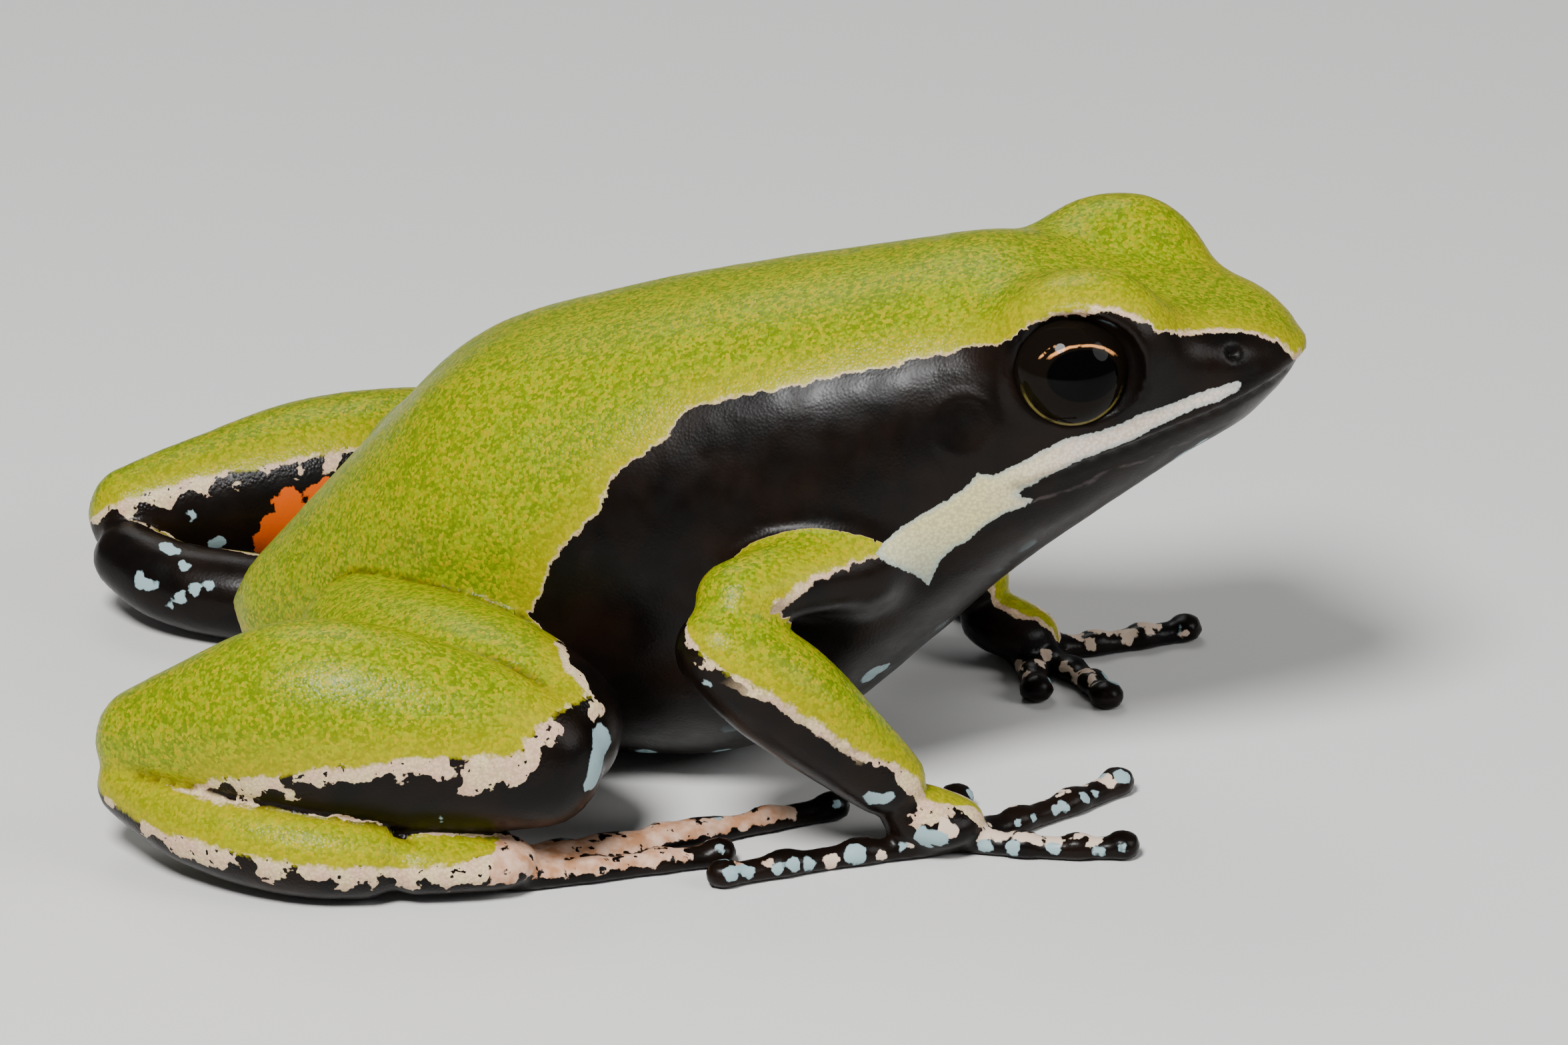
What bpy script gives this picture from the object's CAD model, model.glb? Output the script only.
from itertools import product

import bpy
import numpy as np
import openvdb
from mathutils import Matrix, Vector


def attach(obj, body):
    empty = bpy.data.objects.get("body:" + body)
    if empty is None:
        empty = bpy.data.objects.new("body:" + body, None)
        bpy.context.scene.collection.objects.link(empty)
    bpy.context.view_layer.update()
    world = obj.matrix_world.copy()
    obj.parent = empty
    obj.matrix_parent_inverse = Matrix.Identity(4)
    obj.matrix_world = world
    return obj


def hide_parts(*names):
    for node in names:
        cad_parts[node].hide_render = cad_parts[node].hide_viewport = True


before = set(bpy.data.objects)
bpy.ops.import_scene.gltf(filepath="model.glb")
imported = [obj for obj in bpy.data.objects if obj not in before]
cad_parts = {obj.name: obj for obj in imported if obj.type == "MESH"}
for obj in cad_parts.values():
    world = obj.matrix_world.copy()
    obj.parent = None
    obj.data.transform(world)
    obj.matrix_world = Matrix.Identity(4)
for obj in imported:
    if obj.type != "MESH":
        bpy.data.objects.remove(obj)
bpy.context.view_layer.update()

# The camera looks down on the frog's right side from a little in front of it, from a hand's span
# away. Sizes from here on are millimetres, and MM turns them into the frame's metres.
MM = 0.001
AIM = (4.5, 0.0, 5.2)
# degrees from straight at the right side, degrees over the floor, and distance from the aim
CAMERA_AZIMUTH, CAMERA_HEIGHT, CAMERA_DISTANCE = 10.0, 22.0, 220.0
SEEN_WIDTH = 34.65
SENSOR_WIDTH = 36.0
NEAREST_SEEN = 10.0


def shown(name, data):
    """An object for a mesh, camera or light, put into the scene at the origin."""
    thing = bpy.data.objects.new(name, data)
    bpy.context.scene.collection.objects.link(thing)
    return thing


def aimed(thing, azimuth, height, distance):
    """Puts a camera or light that far from the aim in mm, at an azimuth from -Y towards +X and a height over
    the floor in degrees, with its -Z towards the aim and its top upwards."""
    a, h = np.radians(azimuth), np.radians(height)
    way = Vector((np.sin(a) * np.cos(h), -np.cos(a) * np.cos(h), np.sin(h)))
    thing.location = (Vector(AIM) + way * distance) * MM
    thing.rotation_euler = (Vector(AIM) * MM - thing.location).to_track_quat("-Z", "Y").to_euler()


lens = bpy.data.cameras.new("camera")
lens.sensor_width = SENSOR_WIDTH
lens.lens = SENSOR_WIDTH * CAMERA_DISTANCE / SEEN_WIDTH
lens.clip_start = NEAREST_SEEN * MM
camera = shown("camera", lens)
aimed(camera, CAMERA_AZIMUTH, CAMERA_HEIGHT, CAMERA_DISTANCE)
bpy.context.scene.camera = camera

# The trunk and head are one soft body with a broad back, a belly that rests on the floor and a blunt
# wedge of a snout. Every part of the skin is first worked out as the distance to it, in mm, at the
# crossings of one grid, whose lines lie closer at the head and near the floor, where parts are small.

# place along an axis, and the spacing of the grid's lines there
GRID_X = [(-13.8, 0.19), (5.5, 0.18), (8.0, 0.122), (16.9, 0.122)]
GRID_Y = [(-11.9, 0.155), (11.3, 0.155)]
GRID_Z = [(-0.5, 0.12), (1.5, 0.13), (3.0, 0.18), (7.5, 0.175), (9.5, 0.125), (12.9, 0.125)]
# the greatest distance kept, and the least half size of a section
REACH, LEAST = 3.0, 0.05
# x, top, bottom, height of the widest line, half width, and how square the upper and lower halves are
TRUNK = np.array([
    (-8, 2.9, 1.9, 2.4, 0.5, 2.1, 2.1),
    (-6.8, 4.3, 0.8, 2.4, 1.7, 2.1, 2.1),
    (-5, 6.4, 0.15, 3, 2.9, 2.2, 2.1),
    (-3.2, 8.3, -0.05, 3.6, 3.9, 2.3, 2.1),
    (-1.5, 9.4, -0.1, 4.2, 4.45, 2.3, 2.1),
    (0.9, 10.2, -0.1, 4.6, 4.8, 2.3, 2.1),
    (3.5, 10.9, 0.1, 5, 4.85, 2.3, 2.1),
    (6, 11.45, 1.2, 5.9, 4.55, 2.3, 2.1),
    (8, 11.75, 3, 7.4, 4.1, 2.3, 2.1),
    (9.9, 11.85, 4.9, 8.6, 3.85, 2.4, 2.2),
    (11.8, 11.65, 6.5, 9.3, 3.45, 2.7, 2.4),
    (13.5, 11.35, 7.8, 9.7, 2.8, 3, 2.6),
    (14.9, 11, 8.8, 9.9, 2.05, 3, 2.6),
    (16, 10.4, 9.75, 10.05, 0.7, 2.4, 2.3),
])


def grid_lines(spacings):
    """Places along an axis, each a step past the last. The step runs evenly between the given spacings."""
    places, steps = zip(*spacings)
    lines = [places[0]]
    while lines[-1] < places[-1]:
        lines.append(lines[-1] + np.interp(lines[-1], places, steps))
    return np.array(lines, dtype=np.float32)


def through(table, t):
    """Rows of a table at t, where whole numbers are the rows: Hermite pieces whose slope at each row is
    the mean slope between its neighbours."""
    last = len(table) - 1
    i = np.clip(np.floor(t).astype(int), 0, last - 1)
    f = (t - i)[:, None]
    before, after = np.maximum(np.arange(last + 1) - 1, 0), np.minimum(np.arange(last + 1) + 1, last)
    slope = (table[after] - table[before]) / (after - before)[:, None]
    f2, f3 = f * f, f * f * f
    return ((2 * f3 - 3 * f2 + 1) * table[i] + (f3 - 2 * f2 + f) * slope[i]
            + (3 * f2 - 2 * f3) * table[i + 1] + (f3 - f2) * slope[i + 1])


def trunk_distance(xs, ys, zs):
    """Distance to the trunk: in each upright section the superellipse's norm less one, over the length of
    the norm's own slope. The sections close at both ends like the ends of an ellipsoid."""
    last = len(TRUNK) - 1
    end_rows, fine_places = 0.5, 2000
    fine = np.linspace(0, last, fine_places)
    t = np.interp(xs, through(TRUNK, fine)[:, 0], fine)
    _, top, bottom, waist, half, upper, lower = through(TRUNK, t).T[:, :, None, None]
    ends = [1 - np.clip(1 - reach / end_rows, 0, 1) ** 2 for reach in (t, last - t)]
    closing = np.sqrt(ends[0] * ends[1])[:, None, None]
    rise = zs[None, None, :] - waist
    power = np.where(rise > 0, upper, lower)
    tall = np.maximum(np.where(rise > 0, top - waist, waist - bottom) * closing, LEAST)
    wide = np.maximum(half * closing, LEAST)
    norm = ((np.abs(ys)[None, :, None] / wide) ** power + (np.abs(rise) / tall) ** power) ** (1 / power)
    slope = np.sqrt(sum(part ** 2 for part in np.gradient(norm, xs, ys, zs)))
    inner = (norm - 1) / np.maximum(slope, 1e-3)
    past = np.maximum(np.maximum(TRUNK[0, 0] - xs, xs - TRUNK[last, 0]), 0)[:, None, None]
    return np.clip(np.where(past > 0, np.hypot(inner, past), inner), -REACH, REACH).astype(np.float32)


XS, YS, ZS = grid_lines(GRID_X), grid_lines(GRID_Y), grid_lines(GRID_Z)
skin = trunk_distance(XS, YS, ZS)

# The eyes stand out of the sides of the head under brows. Each is held by a socket and a ring of lids,
# and the lower jaw is set back a little under the lip along the line of the mouth.
EYE_AT = np.array((11.2, 2.65, 10.35))
EYE_RADIUS = 1.42
EYE_LOOKS = np.array((0.22, 0.93, 0.2))
BROW_AT = np.array((11.55, 2.45, 10.85))
BROW_SIZE = np.array((1.95, 1.45, 1.56))
LID_OUT, LID_RADIUS, LID_THICKNESS = 0.585, 1.33, 0.16
OPENING_OUT, OPENING_RADIUS = 1.5, 1.6
LID_NARROW = 1.13
BROW_BLEND, LID_BLEND = 0.7, 0.22
MOUTH_CORNER = (10.0, 7.75)
MOUTH_RISE = 0.355
JAW_SETBACK = 0.1
# the x over which the setback comes in, and how far under the mouth it comes in and goes again
JAW_STARTS, JAW_EDGE, JAW_ENDS = (9.2, 11.0), (0.0, 0.16), (0.3, 1.5)


def eased(value, start, end):
    """0 before start, 1 past end, and 3s^2 - 2s^3 of the share s of the way between them."""
    s = np.clip((value - start) / (end - start), 0, 1)
    return s * s * (3 - 2 * s)


def melted(first, second, blend):
    """Distance to two forms run together: the lesser of the two, lowered where they are within blend of
    each other by a quarter of the square of the shortfall over blend."""
    short = np.maximum(blend - np.abs(first - second), 0)
    return np.minimum(first, second) - short * short / (4 * blend)


def from_point(point, side):
    """Three arrays, one for each axis, that give each grid place less a point on that side of the frog."""
    x, y, z = point
    return (XS - x)[:, None, None], (YS - side * y)[None, :, None], (ZS - z)[None, None, :]


def over_mouth(x, z):
    """Height over the mouth's plane, which rises from the mouth's corner towards the snout."""
    return (z - MOUTH_CORNER[1]) * np.cos(MOUTH_RISE) - (x - MOUTH_CORNER[0]) * np.sin(MOUTH_RISE)


def unit(ways):
    """Vectors of length 1 along the given ones."""
    return ways / np.linalg.norm(ways, axis=-1, keepdims=True)


def eye_facing(side):
    """The unit vector that the eye on that side looks along."""
    return unit(EYE_LOOKS * (1, side, 1))


depth = -over_mouth(XS[:, None, None], ZS[None, None, :])
ahead = eased(XS, *JAW_STARTS)[:, None, None]
skin += JAW_SETBACK * ahead * eased(depth, *JAW_EDGE) * (1 - eased(depth, *JAW_ENDS))
for side in (-1, 1):
    dx, dy, dz = from_point(BROW_AT, side)
    brow = np.sqrt((dx / BROW_SIZE[0]) ** 2 + (dy / BROW_SIZE[1]) ** 2 + (dz / BROW_SIZE[2]) ** 2)
    skin = melted(skin, ((brow - 1) * BROW_SIZE[1]).astype(np.float32), BROW_BLEND)
    facing = eye_facing(side)
    dx, dy, dz = from_point(EYE_AT, side)
    from_eye = np.sqrt(dx * dx + dy * dy + dz * dz)
    out = dx * facing[0] + dy * facing[1] + dz * facing[2]
    upward = unit(np.cross(facing, np.cross((0, 0, 1), facing)))
    over = dx * upward[0] + dy * upward[1] + dz * upward[2]
    across = np.sqrt(np.maximum(from_eye ** 2 - out ** 2 + (LID_NARROW ** 2 - 1) * over ** 2, 0))
    opening = OPENING_RADIUS - np.sqrt(across ** 2 + (out - OPENING_OUT) ** 2)
    skin = np.maximum(skin, opening.astype(np.float32))
    ring = np.sqrt((across - LID_RADIUS) ** 2 + (out - LID_OUT) ** 2) - LID_THICKNESS
    skin = melted(skin, ring.astype(np.float32), LID_BLEND)

# The legs are soft tubes round bones. Each is the room swept by a ball that runs along its middle line
# and changes its size on the way, from a row of stations: x, y, z, half width and half depth.
LEGS = {
    -1: {
        "thigh": [(-4.9, -2.4, 3.1, 1.5, 1.4), (-3, -4.7, 3.2, 2, 1.75), (-0.7, -6.6, 3.3, 1.95, 1.8),
                  (1.75, -8, 2.8, 1.42, 1.45)],
        "shank": [(1.75, -8.15, 2.55, 1.15, 1.2), (-1.1, -8.6, 3.15, 1.7, 2), (-4.3, -8.7, 3.3, 1.95, 2.4),
                  (-6.9, -8.4, 2.85, 1.4, 1.55), (-8.9, -7.9, 2.2, 0.85, 0.95)],
        "tarsus": [(-8.9, -8.1, 1.75, 0.75, 0.75), (-6.7, -9.5, 1.25, 0.95, 0.95),
                   (-4.3, -10.2, 1.05, 1, 1), (-2.1, -10, 0.85, 0.8, 0.8)],
        "sole": [(-2.4, -10, 0.8, 0.75, 0.72), (-0.9, -9.4, 0.68, 0.95, 0.6), (0.6, -8.6, 0.5, 1, 0.46)],
        "toes": [[(-0.5, -8.9), (0.2, -8), (0.9, -7.2)],
                 [(-0.1, -8.8), (1, -7.7), (2, -6.7)],
                 [(0.2, -8.7), (1.7, -7.3), (2.9, -6.3), (3.9, -5.5)],
                 [(0.2, -8.7), (2.2, -7.2), (3.6, -6.1), (5, -5), (6.3, -4.1)],
                 [(0.3, -9), (1.8, -8.3), (3.1, -7.6), (4.3, -7)]],
    },
    1: {
        "thigh": [(-4.9, 2.4, 3.3, 1.5, 1.5), (-4.2, 5, 3.6, 2, 2.1), (-3.4, 7.5, 3.4, 1.9, 1.95),
                  (-2.6, 9.3, 2.8, 1.25, 1.3)],
        "shank": [(-2.5, 9.6, 2.6, 1.1, 1.15), (-4.7, 8.9, 2.5, 1.7, 1.75), (-7.5, 7.6, 2.4, 1.95, 1.95),
                  (-10.2, 6.3, 2.2, 1.4, 1.45), (-12.4, 5.2, 2, 0.85, 0.95)],
        "tarsus": [(-12.1, 4.8, 1.65, 0.75, 0.75), (-10.4, 3.8, 1.2, 0.95, 0.95),
                   (-8.2, 3.5, 1.05, 1, 1), (-5.9, 4, 0.85, 0.8, 0.8)],
        "sole": [(-6.2, 4, 0.8, 0.7, 0.65), (-4.7, 4.6, 0.62, 0.95, 0.52), (-3.2, 5.3, 0.45, 1, 0.4)],
        "toes": [[(-4.2, 4.5), (-3.1, 4.1), (-2.1, 4)],
                 [(-3.9, 4.8), (-2.4, 4.7), (-1.1, 4.7)],
                 [(-3.6, 5.2), (-1.7, 5.5), (-0.4, 5.7), (0.8, 5.8)],
                 [(-3.6, 5.5), (-1.2, 6.4), (0.5, 6.9), (2.1, 7.2), (3.6, 7.3)],
                 [(-3.7, 5.8), (-2.2, 6.8), (-1, 7.5), (0.1, 8.1)]],
    },
}
# how near the skin each part begins to run together with it
LEG_BLENDS = {"thigh": 0.35, "shank": 0.1, "tarsus": 0.12, "sole": 0.3}
DIGIT_BLEND = 0.22
# the ball's places lie a step apart, and a path has a least number of them
STEP, FEWEST_PLACES = 0.12, 8
# half widths of a finger or toe: at its root, between knuckles, at its pad, and at an inner toe's pad
DIGIT_ROOT, DIGIT_SLIM, DIGIT_PAD, INNER_TOE_PAD = 0.38, 0.32, 0.4, 0.3
# depth over width, and how much of the depth is pressed flat on the floor, in mm
DIGIT_FLATNESS, DIGIT_PRESSED = 0.86, 0.08
TOE_KNUCKLE = 0.05
# shares of the way along a digit: where its root ends and where its knuckles begin
ROOT_ENDS, KNUCKLES_BEGIN = 0.3, 0.2
STATIONS_PER_BONE = 4
swept = {}


def ball_path(stations, inset=True):
    """Where the swept ball goes: middles, half width, and width over depth, at even steps along a curve
    through the stations. With inset it stops short of each end by its own size, so the tip is where the
    end station is."""
    table = np.array(stations, dtype=float)
    last = len(table) - 1
    gap = [np.linalg.norm(table[a, :3] - table[b, :3]) for a, b in ((0, 1), (last, last - 1))]
    first = table[0, 3] / gap[0] if inset else 0.0
    final = last - (table[last, 3] / gap[1] if inset else 0.0)
    count = max(int(last * np.mean(gap) / STEP), FEWEST_PLACES)
    rows = through(table, np.linspace(first, final, count))
    return rows[:, :3], rows[:, 3], rows[:, 3] / rows[:, 4]


def swept_distance(path, margin=1.2):
    """Distance to the swept ball within a box round its path: the least of the distances to its places.
    Heights are stretched by width over depth. Returns the box as slices, too."""
    middles, radii, squash = path
    box = []
    for lines, axis in ((XS, 0), (YS, 1), (ZS, 2)):
        low = (middles[:, axis] - radii / squash.min()).min() - margin
        high = (middles[:, axis] + radii / squash.min()).max() + margin
        box.append(slice(*np.searchsorted(lines, (low, high))))
    near = np.full([len(lines[cut]) for lines, cut in zip((XS, YS, ZS), box)], REACH, dtype=np.float32)
    for (x, y, z), radius, flat in zip(middles, radii, squash):
        dx, dy, dz = (XS[box[0]] - x) ** 2, (YS[box[1]] - y) ** 2, ((ZS[box[2]] - z) * flat) ** 2
        apart = np.sqrt(dx[:, None, None] + dy[None, :, None] + dz[None, None, :]) - radius
        np.minimum(near, apart, out=near)
    return tuple(box), near


def grow_limb(name, stations, blend, inset=True):
    """Melts one swept limb into the skin and keeps its path, by name, for the markings."""
    path = ball_path(stations, inset)
    box, near = swept_distance(path)
    skin[box] = melted(skin[box], near, blend)
    swept[name] = path


def digit_stations(points, knuckle, pad):
    """Stations of a finger or toe on the floor: a thicker root, knuckles between, a round pad at the tip."""
    bones = len(points) - 1
    share = np.linspace(0, 1, STATIONS_PER_BONE * bones + 1)
    plan = through(np.array(points, dtype=float), share * bones)
    waves = knuckle * np.cos(np.linspace(0, 2 * np.pi * bones, len(share))) * (share > KNUCKLES_BEGIN)
    half = DIGIT_SLIM + (DIGIT_ROOT - DIGIT_SLIM) * (1 - eased(share, 0.0, ROOT_ENDS)) + np.maximum(waves, 0)
    half[-1] = pad
    depth = half * DIGIT_FLATNESS
    return np.column_stack([plan, depth - DIGIT_PRESSED, half, depth])


for side, leg in LEGS.items():
    for kind, blend in LEG_BLENDS.items():
        grow_limb((kind, side), leg[kind], blend)
    for number, toe in enumerate(leg["toes"]):
        stations = digit_stations(toe, TOE_KNUCKLE, INNER_TOE_PAD if number < 3 else DIGIT_PAD)
        grow_limb(("toe%d" % number, side), stations, DIGIT_BLEND, inset=False)

# The arms prop the chest up. The upper arm leaves the body low on its side, the elbow points back and
# the forearm slopes forwards to a small hand with four fingers that have round pads.
ARMS = {
    -1: {
        "upper_arm": [(7.5, -3.4, 5.8, 0.95, 0.9), (5.5, -5.2, 6, 0.95, 0.8), (3.9, -6.6, 5.6, 0.95, 0.9)],
        "forearm": [(3.75, -6.9, 5.45, 0.85, 0.85), (5.4, -6.6, 4.1, 1.3, 1.15), (7.2, -6, 2.3, 1, 0.9),
                    (8.2, -5.6, 1.25, 0.75, 0.62)],
        "palm": [(7.9, -5.7, 1.2, 0.7, 0.6), (8.8, -5.4, 0.7, 0.95, 0.58), (9.7, -5.2, 0.48, 0.85, 0.42)],
        "fingers": [[(9, -5.2), (9, -4.1), (8.9, -3.2)],
                    [(9.4, -5.1), (10.4, -4.1), (11.4, -2.9), (12.25, -1.7)],
                    [(9.4, -5.3), (10.7, -5.4), (11.9, -5.3), (12.85, -5.1)],
                    [(8.8, -5.6), (7.3, -6.4), (5.8, -7.3), (4.6, -8.1)]],
    },
    1: {
        "upper_arm": [(7.5, 3.4, 5.8, 0.95, 0.9), (5.6, 5.2, 6, 0.95, 0.8), (4.1, 6.6, 5.6, 0.95, 0.9)],
        "forearm": [(4, 6.9, 5.45, 0.85, 0.85), (5.6, 6.6, 4.1, 1.3, 1.15), (7.3, 6, 2.3, 1, 0.9),
                    (8.2, 5.6, 1.25, 0.75, 0.62)],
        "palm": [(7.9, 5.7, 1.2, 0.7, 0.6), (8.8, 5.5, 0.7, 0.95, 0.58), (9.7, 5.5, 0.48, 0.85, 0.42)],
        "fingers": [[(9.1, 5.1), (9.5, 4.1), (9.7, 3.2)],
                    [(9.5, 5.2), (10.3, 4.5), (10.9, 3.8), (11.3, 3.1)],
                    [(9.4, 5.5), (10.6, 6.1), (11.6, 6.7), (12.5, 7.3)],
                    [(8.9, 5.8), (8.1, 6.9), (7.3, 7.9), (6.6, 8.8)]],
    },
}
ARM_BLENDS = {"upper_arm": 0.7, "forearm": 0.3, "palm": 0.3}
FINGER_KNUCKLE = 0.06
for side, arm in ARMS.items():
    for kind, blend in ARM_BLENDS.items():
        grow_limb((kind, side), arm[kind], blend)
    for number, finger in enumerate(arm["fingers"]):
        stations = digit_stations(finger, FINGER_KNUCKLE, DIGIT_PAD)
        grow_limb(("finger%d" % number, side), stations, DIGIT_BLEND, inset=False)

# The skin is one closed surface over the whole frog: the grid's zero surface, made of four-sided faces.
# The floor cuts it off level under the belly, the feet and the hands.
volume = openvdb.FloatGrid(REACH)
volume.copyFromArray(np.maximum(skin, -ZS[None, None, :]))
corners, quads = volume.convertToQuads(isovalue=0.0)
corners = np.column_stack([np.interp(corners[:, i], np.arange(len(lines)), lines)
                           for i, lines in enumerate((XS, YS, ZS))])
quads = quads.astype(np.int64)


def largest_piece(points, faces):
    """Only the points and faces joined to the greatest number of others: the least point number spreads
    over the edges until nothing changes."""
    label = np.arange(len(points))
    while True:
        low = label[faces].min(1)
        new = label.copy()
        for corner in range(4):
            np.minimum.at(new, faces[:, corner], low)
        new = new[new]
        if (new == label).all():
            break
        label = new
    keep = label == np.bincount(label).argmax()
    number = np.cumsum(keep) - 1
    return points[keep], number[faces[keep[faces[:, 0]]]]


def point_normals(points, faces):
    """Unit normals at the points: the sum of the normals of the faces that meet there."""
    across = np.cross(points[faces[:, 2]] - points[faces[:, 0]], points[faces[:, 3]] - points[faces[:, 1]])
    total = np.column_stack([sum(np.bincount(faces[:, c], across[:, i], len(points)) for c in range(4))
                             for i in range(3)])
    return unit(total)


corners, quads = largest_piece(corners, quads)
normals = point_normals(corners, quads)

# Under a skin this thin the hips, shoulders, brows and chin show as soft swellings, and it folds where a
# leg is drawn up. Nostrils, eardrums and the line of the mouth are pressed in. All of it is small
# moves of the skin's points along their normals.
NOSTRIL_AT = (14.65, 1.96, 10.62)
NOSTRIL_DEPTH, NOSTRIL_SPREAD = 0.3, 0.11
# the groove of the mouth, the x over which it begins, and the low ridge over it
MOUTH_DEPTH, MOUTH_SPREAD, MOUTH_STARTS = 0.11, 0.085, (9.85, 10.3)
LIP_HEIGHT, LIP_OVER, LIP_SPREAD = 0.05, 0.24, 0.16
# the eardrum's rim: its radius, height and width, and the hollow inside: its depth and reach
EARDRUM_AT = (9.1, 3.82, 9.3)
RIM_RADIUS, RIM_HEIGHT, RIM_SPREAD, HOLLOW_DEPTH, HOLLOW_REACH = 0.66, 0.035, 0.11, 0.05, 0.5
# the skin's unevenness: height, size across, and the seed of its random numbers
UNEVENNESS = [(0.012, 0.9, 3), (0.006, 0.35, 4)]
# nape, chin, brow, hip, tail bone, shoulder, neck and snout: x, y, z, reach and height, on both sides
SWELLINGS = [
    (9.2, 0, 11.4, 2, 0.34), (14.5, 0, 8.5, 1.1, 0.22), (12.2, 2.2, 12.1, 0.8, 0.12),
    (-2.6, 1.9, 9.3, 1.1, 0.1), (-3.6, 1.2, 8.6, 0.9, 0.05), (5.2, 3.6, 9.6, 1.3, 0.08),
    (7.4, 3.9, 9.9, 0.8, 0.07), (13.9, 1.9, 11.2, 0.9, 0.05),
]
# start and end of a crease on the flank over the thigh, both on the right side, and its depth
FOLDS = [
    ((-3.1, -3.8, 6.6), (-2, -4.6, 4.9), 0.1), ((-2.2, -4, 7.2), (-1.1, -4.7, 5.4), 0.08),
    ((-0.6, -4.6, 6.4), (0.2, -4.9, 5), 0.05),
]
# width of a crease, and of the ridge beside it its place, width and share of the depth
FOLD_SPREAD, RIDGE_OFF, RIDGE_SPREAD, RIDGE_SHARE = 0.16, 0.34, 0.25, 0.6
# the crease where two parts of a leg meet: its reach from both, depth, width, and its stain's width
MEETING_REACH, MEETING_DEPTH, MEETING_SPREAD, STAIN_SPREAD = 0.35, 0.13, 0.13, 0.1
# shares of the shank, from the knee and from the heel, over which it comes in
OFF_KNEE, OFF_HEEL = (0.0, 0.12), (0.04, 0.12)
# the trunk's distance is true only near the trunk, so this half width bounds it
TRUNK_HALF = 4.85
# farther than any two places on the frog
FAR = 50.0


def bell(distance, spread):
    """A bell curve of height 1: e to the minus square of distance over spread."""
    return np.exp(-(distance / spread) ** 2)


def to_stretch(points, start, end):
    """Distance from points to a straight stretch, and the share of the way along it, 0 to 1."""
    start, way = np.array(start), np.array(end) - np.array(start)
    share = np.clip((points - start) @ way / (way @ way), 0, 1)
    return np.linalg.norm(points - start - share[:, None] * way, axis=1), share


def blended(field, cell, share):
    """A field's values between its places: the eight round each, by the shares of the way to the next."""
    total = 0
    for z, y, x in product((0, 1), repeat=3):
        weight = np.prod(np.where((x, y, z), share, 1 - share), axis=1)
        total = total + weight * field[tuple(((cell + (x, y, z)) % field.shape).T)]
    return total


def lumps(points, size, seed):
    """Smooth random heights from -1 to 1: values at the corners of cubes of that size, eased between."""
    count = 64
    values = np.random.default_rng(seed).uniform(-1, 1, (count, count, count))
    place = points / size + count // 2
    cell = np.floor(place).astype(int)
    return blended(values, cell, eased(place - cell, 0, 1))


def grid_value(field, points):
    """A field's value at points between the grid's places."""
    place = np.column_stack([np.interp(points[:, axis], lines, np.arange(len(lines)))
                             for axis, lines in enumerate((XS, YS, ZS))])
    cell = np.minimum(place.astype(int), np.array(field.shape) - 2)
    return blended(field, cell, place - cell)


def from_twins(x, y, z):
    """Distance of the skin's points from a place on the left side or its twin on the right."""
    return np.linalg.norm(right_first - (x, -y, z), axis=1)


def round_limb(points, path, side):
    """Distance to a swept limb, the share of the way along it, the turn round it in degrees, and its half
    width there. The turn is 0 at the top and more than 0 to the right of the way along a right limb."""
    middles, radii, squash = path
    best = np.full(len(points), FAR, dtype=np.float32)
    index = np.zeros(len(points), dtype=int)
    for i, ((x, y, z), radius, flat) in enumerate(zip(middles, radii, squash)):
        apart = np.sqrt((points[:, 0] - x) ** 2 + (points[:, 1] - y) ** 2
                        + ((points[:, 2] - z) * flat) ** 2) - radius
        closer = apart < best
        best[closer] = apart[closer]
        index[closer] = i
    _, sideways, upward = limb_ways(middles, side)
    way = points - middles[index]
    turn = np.arctan2((way * sideways[index]).sum(1), (way * upward[index]).sum(1))
    return best, index / (len(middles) - 1), np.degrees(turn), radii[index]


def limb_ways(middles, side):
    """At each place of a limb: the way along, the level way square to it and the way up square to both."""
    along = unit(np.gradient(middles, axis=0))
    sideways = unit(-side * np.cross(along, (0.0, 0.0, 1.0)))
    return along, sideways, np.cross(along, sideways) * side


to_trunk = grid_value(trunk_distance(XS, YS, ZS), corners)
to_trunk = np.maximum(to_trunk, np.abs(corners[:, 1]) - TRUNK_HALF)
parts = {("trunk", 0): (to_trunk, 0, 0, 0)}
parts.update({name: round_limb(corners, path, name[1]) for name, path in swept.items()})
nearest = np.min([part[0] for part in parts.values()], axis=0)
right_first = np.where(corners[:, 1:2] < 0, corners, corners * (1, -1, 1))
lift = sum(height * lumps(corners, size, seed) for height, size, seed in UNEVENNESS)
for x, y, z, reach, height in SWELLINGS:
    lift += height * bell(from_twins(x, y, z), reach)
for start, end, depth in FOLDS:
    distance, share = to_stretch(right_first, start, end)
    arch = np.sin(np.pi * np.clip(share, 0.02, 0.98))
    ridge = RIDGE_SHARE * bell(distance - RIDGE_OFF, RIDGE_SPREAD)
    lift += depth * arch * (ridge - bell(distance, FOLD_SPREAD))
mouth = over_mouth(corners[:, 0], corners[:, 2])
in_mouth = eased(corners[:, 0], *MOUTH_STARTS)
lift -= MOUTH_DEPTH * in_mouth * bell(mouth, MOUTH_SPREAD)
lift += LIP_HEIGHT * in_mouth * bell(mouth - LIP_OVER, LIP_SPREAD)
lift -= NOSTRIL_DEPTH * bell(from_twins(*NOSTRIL_AT), NOSTRIL_SPREAD)
to_eardrum = from_twins(*EARDRUM_AT)
lift += RIM_HEIGHT * bell(to_eardrum - RIM_RADIUS, RIM_SPREAD)
lift -= HOLLOW_DEPTH * bell(to_eardrum, HOLLOW_REACH)
crease = np.zeros(len(corners))
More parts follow.
